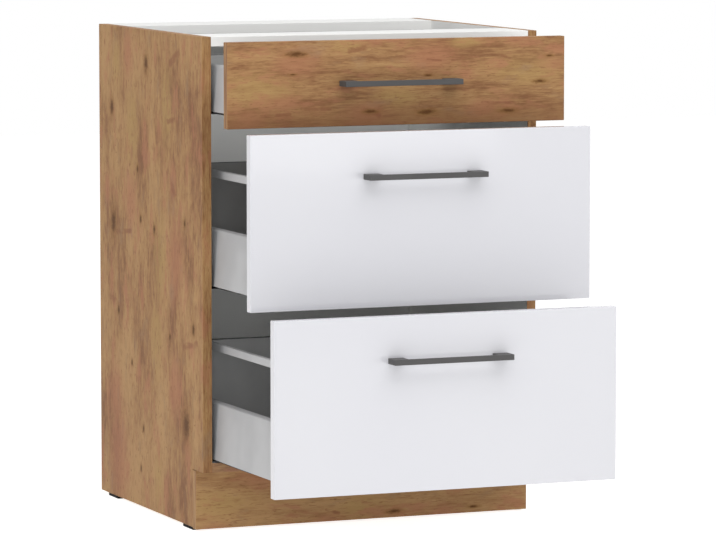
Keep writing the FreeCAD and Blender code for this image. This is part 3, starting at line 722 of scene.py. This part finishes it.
# %% Carry the line along an axis
def carried(line, axes, low, high, edge, rings=6):
    """Points, faces and normals of a closed line carried from low to high.

    A ring at rim angle b is the line moved inwards by edge x (1 - cos b) along its normals, and
    it lies edge x (1 - sin b) inside the end. Its normal is cos b times the line's normal plus
    sin b times the axis. The first and the last ring are closed by flat faces.
    """
    points, normals = line
    rim = np.linspace(0, math.pi / 2, rings)
    angle = np.concatenate([-rim[::-1], rim])[:, None, None]
    inset = edge * (1 - np.sin(rim))
    height = np.concatenate([low + inset[::-1], high - inset])[:, None, None]
    flat = points - normals * edge * (1 - np.cos(angle))
    first, second, along = (np.array(axis, float) for axis in axes)
    spots = flat[..., :1] * first + flat[..., 1:] * second + height * along
    out = np.cos(angle) * (normals[:, :1] * first + normals[:, 1:] * second) + np.sin(angle) * along
    count = len(points)
    here = np.arange(count)
    ends = np.stack([here[::-1], here + (2 * rings - 1) * count])
    return spots.reshape(-1, 3), [quads_between(2 * rings, count), ends], out.reshape(-1, 3)


# %% Turn a profile about an axis
TOP_FLAT = 1e-9                # metres within which a height counts as the last one


def turned(profile, seat, axis, steps=40, cross=None):
    """Points and faces of a profile turned about an axis through the seat.

    A point at angle a lies at seat + height x axis + radius x (cos a x first + sin a x second).
    The profile starts and ends on the axis with one point each. A cross is a recess in the
    last flat face: it is deep where the nearer of the two distances to its arms is small and
    the farther one is inside their reach. Its walls take up half of the half width and a
    quarter of the reach.
    """
    profile, axis, seat = (np.array(value, float) for value in (profile, axis, seat))
    first = np.roll(np.abs(axis), 1)
    second = np.cross(axis, first)
    angle = np.arange(steps) * 2 * math.pi / steps
    radius, height = profile[1:-1, :1], profile[1:-1, 1:]
    x, y = radius * np.cos(angle), radius * np.sin(angle)
    height = height + 0 * x
    sunk = 0.0
    if cross:
        reach, half_width, sunk = cross
        near, far = np.minimum(abs(x), abs(y)), np.maximum(abs(x), abs(y))
        inside = (np.clip((half_width - near) / half_width * 2, 0, 1)
                  * np.clip((reach - far) / reach * 4, 0, 1))
        height = np.where(height >= profile[-1, 1] - TOP_FLAT, height - sunk * inside, height)
    grid = seat + height[..., None] * axis + x[..., None] * first + y[..., None] * second
    poles = seat + np.array([profile[0, 1], profile[-1, 1] - sunk])[:, None] * axis
    rows = len(profile) - 2
    here = np.arange(steps)
    after = np.roll(here, -1)
    tip, top, last = rows * steps + 0 * here, rows * steps + 1 + 0 * here, (rows - 1) * steps
    caps = np.concatenate([np.stack([tip, after, here], axis=-1),
                           np.stack([last + here, last + after, top], axis=-1)])
    return np.concatenate([grid.reshape(-1, 3), poles]), [quads_between(rows, steps), caps]


# %% Make a piece of one or more closed shells
SHARP_ANGLE = math.radians(35)


def piece(name, shells, node):
    """One object in the place of a node; it takes over the node's body, slot and finish."""
    points, faces, normals = [], [], []
    for shell in shells:
        start = sum(len(part) for part in points)
        points.append(shell[0])
        faces += [side for kind in shell[1] for side in (kind + start).tolist()]
        normals += shell[2:]
    mesh = bpy.data.meshes.new(name)
    mesh.from_pydata(np.concatenate(points).tolist(), [], faces)
    mesh.shade_smooth()
    if normals:
        mesh.normals_split_custom_set_from_vertices(np.concatenate(normals).tolist())
    else:
        mesh.set_sharp_from_angle(angle=SHARP_ANGLE)
    mesh.materials.append(finish_of[node])
    made = bpy.data.objects.new(name, mesh)
    bpy.context.scene.collection.objects.link(made)
    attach(made, body_of[node])
    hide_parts(node)
    print(name, len(faces), "faces")


# %% [markdown]
# ## The fronts
#
# A front is a 16 mm board with its edges just broken. Its outline is taken from the fixed
# frame, so it covers the same place as the plain solid. A wider edge would catch more light,
# but a real edge band is broken by less than a millimetre.

# %% Fronts
FRONT_EDGE, FRONT_CORNER = 0.0008, 0.0012
ACROSS, BACKWARD, FORWARD, UP = (1, 0, 0), (0, 1, 0), (0, -1, 0), (0, 0, 1)


def oblong(low_0, high_0, low_1, high_1):
    """The corners of an upright rectangle, anticlockwise."""
    return [(low_0, low_1), (high_0, low_1), (high_0, high_1), (low_0, high_1)]


for drawer in DRAWERS:
    node = drawer + "_front"
    (x0, y0, z0), (x1, y1, z1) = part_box(node)
    line = rounded_line(oblong(x0, x1, z0, z1), [FRONT_CORNER] * 4)
    board = carried(line, (ACROSS, UP, FORWARD), -y1, -y0, FRONT_EDGE)
    piece(drawer + "_front_panel", [board], node)

# %% [markdown]
# ## The handles
#
# Each handle is a flat bar with a wide leg at both ends, cut from one profile. It could be
# joined from three boxes, but then seams would show where they meet. Seen from above it is a
# low U, so that U is the line and it is carried upwards in one piece.

# %% Handles
HANDLE_BAR, HANDLE_LEG = 0.006, 0.026
HANDLE_CORNER, HANDLE_EDGE = 0.0009, 0.0006    # the rim is narrower, so its line never crosses itself
for drawer in DRAWERS:
    node = drawer + "_handle"
    (x0, y0, z0), (x1, y1, z1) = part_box(node)
    inner = y0 + HANDLE_BAR
    corners = [(x0, y1), (x0, y0), (x1, y0), (x1, y1),
               (x1 - HANDLE_LEG, y1), (x1 - HANDLE_LEG, inner),
               (x0 + HANDLE_LEG, inner), (x0 + HANDLE_LEG, y1)]
    line = rounded_line(corners, [HANDLE_CORNER] * 8)
    bar = carried(line, (ACROSS, BACKWARD, UP), z0, z1, HANDLE_EDGE)
    piece(drawer + "_bar_handle", [bar], node)

# %% [markdown]
# ## Small turned pieces
#
# Screws, rollers, cam housings and the pins of the glides are profiles turned about their
# axes. Their places and sizes could be typed in again, but then two lists would have to agree.
# So they are measured from the fixed frame: the triangles of a node are sorted into separate
# solids, and each solid's points give its axis, its head and its length.

# %% The separate solids of a node
def solids_of(node):
    """Point clouds of a node's solids.

    Points at the same place share a number. Each triangle gives its three points the lowest
    number among them, again and again, until every solid has one number left.
    """
    mesh = nodes[node].data
    spots = np.empty(len(mesh.vertices) * 3)
    mesh.vertices.foreach_get("co", spots)
    spots = spots.reshape(-1, 3)
    _, same = np.unique(np.round(spots, 6), axis=0, return_inverse=True)
    corners = np.empty(len(mesh.loops), dtype=np.int64)
    mesh.loops.foreach_get("vertex_index", corners)
    triangles = same.ravel()[corners].reshape(-1, 3)
    label = np.arange(same.max() + 1)
    while True:
        fresh = label.copy()
        np.minimum.at(fresh, triangles.ravel(), np.repeat(label[triangles].min(axis=1), 3))
        if (fresh == label).all():
            break
        label = fresh
    owner = label[same.ravel()]
    return [spots[owner == number] for number in np.unique(owner)]


# %% Measure a round solid
NEAR = 1e-6                    # metres within which two heights count as one
WIDEST = 0.95                  # share of the largest radius from which a point is on the rim


def measured(cloud, along):
    """Middle and largest radius; ends of the widest part; both ends; radius of the far end."""
    low, high = cloud.min(axis=0), cloud.max(axis=0)
    middle = (low + high) / 2
    others = [axis for axis in range(3) if axis != along]
    radial = np.hypot(*(cloud - middle)[:, others].T)
    wide = cloud[radial > WIDEST * radial.max(), along]
    far_end = low[along] if wide.max() > high[along] - NEAR else high[along]
    tail = radial[abs(cloud[:, along] - far_end) < NEAR].max()
    return middle, radial.max(), wide.min(), wide.max(), low[along], high[along], tail


# %% Screws
FACE_ROWS = np.linspace(0.6, 0.08, 9)          # rings of a flat face, as shares of its radius
HEAD_CURVE = [(1, 0), (1, 0.45), (0.96, 0.7), (0.86, 0.88), (0.72, 0.97)]
TIP, TAPER = 0.4, 0.8                          # of the point, as shares of the shank's radius
SCREW_CROSS = (0.52, 0.13, 0.6)                # shares: reach and half width, depth


def screw(cloud):
    """A pan head with a cross recess on a shank with a short point.

    The head's curve and its cross are given in shares of its radius and of its rise.
    """
    along = int(np.argmax(cloud.max(axis=0) - cloud.min(axis=0)))
    middle, head, wide_low, wide_high, low, high, shank = measured(cloud, along)
    up = wide_high > high - NEAR
    seat, axis = middle.copy(), np.zeros(3)
    seat[along], axis[along] = (wide_low, 1.0) if up else (wide_high, -1.0)
    rise, length = wide_high - wide_low, (wide_low - low if up else high - wide_high)
    profile = [(0, -length), (TIP * shank, -length), (shank, -length + TAPER * shank), (shank, 0)]
    profile += [(share * head, part * rise) for share, part in HEAD_CURVE]
    profile += [(share * head, rise) for share in FACE_ROWS] + [(0, rise)]
    reach, half_width, depth = SCREW_CROSS
    return turned(profile, seat, axis, cross=(reach * head, half_width * head, depth * rise))


screw_nodes = ["runner_screws"] + [drawer + kind for drawer in DRAWERS
                                   for kind in ("_screws", "_handle_screws")]
for node in screw_nodes:
    piece(node + "_cross_head", [screw(cloud) for cloud in solids_of(node)], node)


# %% Rollers
ROLLER_RIM, ROLLER_PIN, ROLLER_CAP = 0.0006, 0.0020, 0.0012    # rounding, radius, thickness
WEB = [(0.82, 0), (0.78, 1), (0.36, 1), (0.32, 0)]     # share of the radius, and sunk or not


def roller(cloud):
    """A wheel with rounded rims and a sunk web, its pin, and the riveted cap of the pin."""
    middle, wheel, wide_low, wide_high, low, high, cap = measured(cloud, 0)
    up = wide_high > high - NEAR
    seat = np.array([low if up else high, middle[1], middle[2]])
    axis = (1.0 if up else -1.0, 0.0, 0.0)
    start, end = (wide_low - low if up else high - wide_high), high - low
    rim, thick = ROLLER_RIM, ROLLER_CAP
    arc = np.linspace(0, math.pi / 2, 4)
    profile = [(0, 0), (0.7 * cap, 0), (cap, 0.25 * thick), (cap, thick), (ROLLER_PIN, thick),
               (ROLLER_PIN, start)]
    profile += [(wheel - rim + rim * math.sin(a), start + rim - rim * math.cos(a)) for a in arc]
    profile += [(wheel - rim + rim * math.cos(a), end - rim + rim * math.sin(a)) for a in arc]
    profile += [(share * wheel, end - sunk * rim) for share, sunk in WEB] + [(0, end)]
    return turned(profile, seat, axis)


for node in ["fixed_rollers"] + [drawer.replace("drawer", "slide_rollers") for drawer in DRAWERS]:
    piece(node + "_with_rims", [roller(cloud) for cloud in solids_of(node)], node)


# %% Cam housings
CAM_BREAK, CAM_EDGE = 0.0003, 0.0004           # broken edges inside and on the face
CAM_CROSS = (0.5, 0.13, 0.0022)                # shares: reach and half width; depth in metres


def cam(cloud):
    """A disc whose lower face lies in the board's surface, with a cross to turn it."""
    low, high = cloud.min(axis=0), cloud.max(axis=0)
    seat = (low + high) / 2
    seat[2] = high[2]
    radius, depth = (high[1] - low[1]) / 2, high[2] - low[2]
    profile = [(0, 0), (0.97 * radius, 0), (radius, CAM_BREAK), (radius, depth - CAM_EDGE),
               (radius - CAM_EDGE, depth), (0.8 * radius, depth)]
    profile += [(share * radius, depth) for share in FACE_ROWS] + [(0, depth)]
    reach, half_width, sunk = CAM_CROSS
    return turned(profile, seat, (0, 0, -1), cross=(reach * radius, half_width * radius, sunk))


cams = [cam(cloud) for cloud in solids_of("cam_housings")]
piece("cam_housings_with_cross", cams, "cam_housings")

# %% [markdown]
# ## Glides
#
# The flat black glides under the sides are moulded plates with round corners. Their pins are
# pressed up into the boards. A box would do for the plate from afar, but the light that slips
# under the cabinet picks out its corners, so it is a rounded line carried upwards.

# %% Glides
GLIDE_PLATE, GLIDE_CORNER, GLIDE_EDGE = 0.005, 0.003, 0.0004
PIN_RADIUS, PIN_TIP, PIN_TAPER = 0.0015, 0.0008, 0.001
PIN_PLACES = (-0.015, 0.015)                   # from the middle of the plate, front to back
glide_shells = []
for cloud in solids_of("glides"):
    (x0, y0, z0), (x1, y1, z1) = cloud.min(axis=0), cloud.max(axis=0)
    line = rounded_line(oblong(x0, x1, y0, y1), [GLIDE_CORNER] * 4)
    plate = carried(line, (ACROSS, BACKWARD, UP), z0, z0 + GLIDE_PLATE, GLIDE_EDGE)
    glide_shells.append(plate[:2])
    length = z1 - z0 - GLIDE_PLATE
    pin = [(0, 0), (PIN_RADIUS, 0), (PIN_RADIUS, length - PIN_TAPER), (PIN_TIP, length), (0, length)]
    for place in PIN_PLACES:
        seat = ((x0 + x1) / 2, (y0 + y1) / 2 + place, z0 + GLIDE_PLATE)
        glide_shells.append(turned(pin, seat, UP, 20))
piece("glides_moulded", glide_shells, "glides")

# %% [markdown]
# ## Stage
#
# The object stands in a white studio. A bright white world would do, but it would also light
# the object from everywhere and wash out its shadow. So the world and the floor are white
# only where the camera, a mirror or a glass sees them, and weak as light that falls on things.

# %% World
WORLD_LIGHT = 0.31
PURE_WHITE = (1.0, 1.0, 1.0, 1.0)


def seen(shading):
    """1 for rays from the camera, a mirror or a glass, 0 for light that falls on things."""
    ray = shading.node("LightPath", {}, {}, "Is Camera Ray")
    outputs = ray.socket.node.outputs
    for kind in ("Is Glossy Ray", "Is Transmission Ray"):
        other = Wire(shading, outputs[kind])
        ray = shading.node("Math", {"operation": "MAXIMUM"}, {0: ray, 1: other})
    return ray


studio = Shading("studio", "worlds")
bpy.context.scene.world = studio.block
ambient = studio.node("Background", {}, {"Color": PURE_WHITE, "Strength": WORLD_LIGHT})
shown = studio.node("Background", {}, {"Color": PURE_WHITE})
sky = studio.node("MixShader", {}, {0: seen(studio), 1: ambient, 2: shown})
studio.node("OutputWorld", {}, {"Surface": sky})
print("the world lights at", WORLD_LIGHT)

# %% Floor
FLOOR_HALF = 9.0
FLOOR_LIGHT, FLOOR_SHOWN = 0.28, 0.78          # glow on things, glow in the camera
FLOOR_GREY = (0.88, 0.88, 0.88, 1.0)
floor_mesh = bpy.data.meshes.new("floor")
floor_corners = oblong(-FLOOR_HALF, FLOOR_HALF, -FLOOR_HALF, FLOOR_HALF)
floor_mesh.from_pydata([(x, y, 0) for x, y in floor_corners], [], [(0, 1, 2, 3)])
floor = bpy.data.objects.new("floor", floor_mesh)
bpy.context.scene.collection.objects.link(floor)
ground = Shading("floor_white")
strength = ground.node("MapRange", {}, {"Value": seen(ground), "To Min": FLOOR_LIGHT,
                                        "To Max": FLOOR_SHOWN})
glow = ground.node("Emission", {}, {"Color": PURE_WHITE, "Strength": strength})
matt = ground.node("BsdfDiffuse", {}, {"Color": FLOOR_GREY})
both = ground.node("AddShader", {}, {0: matt, 1: glow})
ground.node("OutputMaterial", {}, {"Surface": both})
floor_mesh.materials.append(ground.block)
print("the floor is", 2 * FLOOR_HALF, "m wide")

# %% [markdown]
# ## Lamps
#
# Six soft lamps stand where a photographer would put them. The key is large and on the left,
# the fill is weaker and on the right, and one wide lamp hangs above. A small one in front
# clears the fronts, and a low one reaches the plinth under the open drawers, without being
# mirrored in the gloss. The strip is the only one that is there to be mirrored: it draws the
# soft bright patch on the middle front. One big lamp would be simpler, but then the plinth
# and the inside of the drawers would drown in shadow.

# %% Lamps
def lamp(name, place, aim, size, tall, watts):
    """A soft lamp that looks at a point."""
    data = bpy.data.lights.new(name, "AREA")
    data.shape, data.size, data.size_y, data.energy = "RECTANGLE", size, tall, watts
    made = bpy.data.objects.new(name, data)
    bpy.context.scene.collection.objects.link(made)
    made.location = place
    spot = np.array(aim) - np.array(place)
    flat = math.hypot(spot[0], spot[1])
    made.rotation_euler = (math.atan2(flat, -spot[2]), 0, math.atan2(spot[1], spot[0]) - math.pi / 2)
    return made


CENTRE, PLINTH, MIDDLE_FRONT = (0.0, 0.1, 0.4), (0.0, 0.0, 0.15), (0.05, -0.2, 0.6)
lamps = [lamp("key", (-4.8, -1.4, 2.6), CENTRE, 4.0, 4.0, 76),
         lamp("fill", (4.2, -0.6, 1.9), CENTRE, 3.0, 3.0, 24),
         lamp("front", (-1.72, -4.15, 1.1), CENTRE, 1.0, 1.0, 20),
         lamp("top", (0.0, -1.5, 3.2), CENTRE, 4.0, 3.2, 76),
         lamp("low", (3.0, -3.0, 0.32), PLINTH, 3.0, 0.6, 20),
         lamp("strip", (1.98, -5.5, 0.39), MIDDLE_FRONT, 0.95, 0.45, 1.8)]
for made in lamps:
    made.visible_glossy = made.name != "low"
print(len(lamps), "lamps,", sum(made.data.energy for made in lamps), "watts")
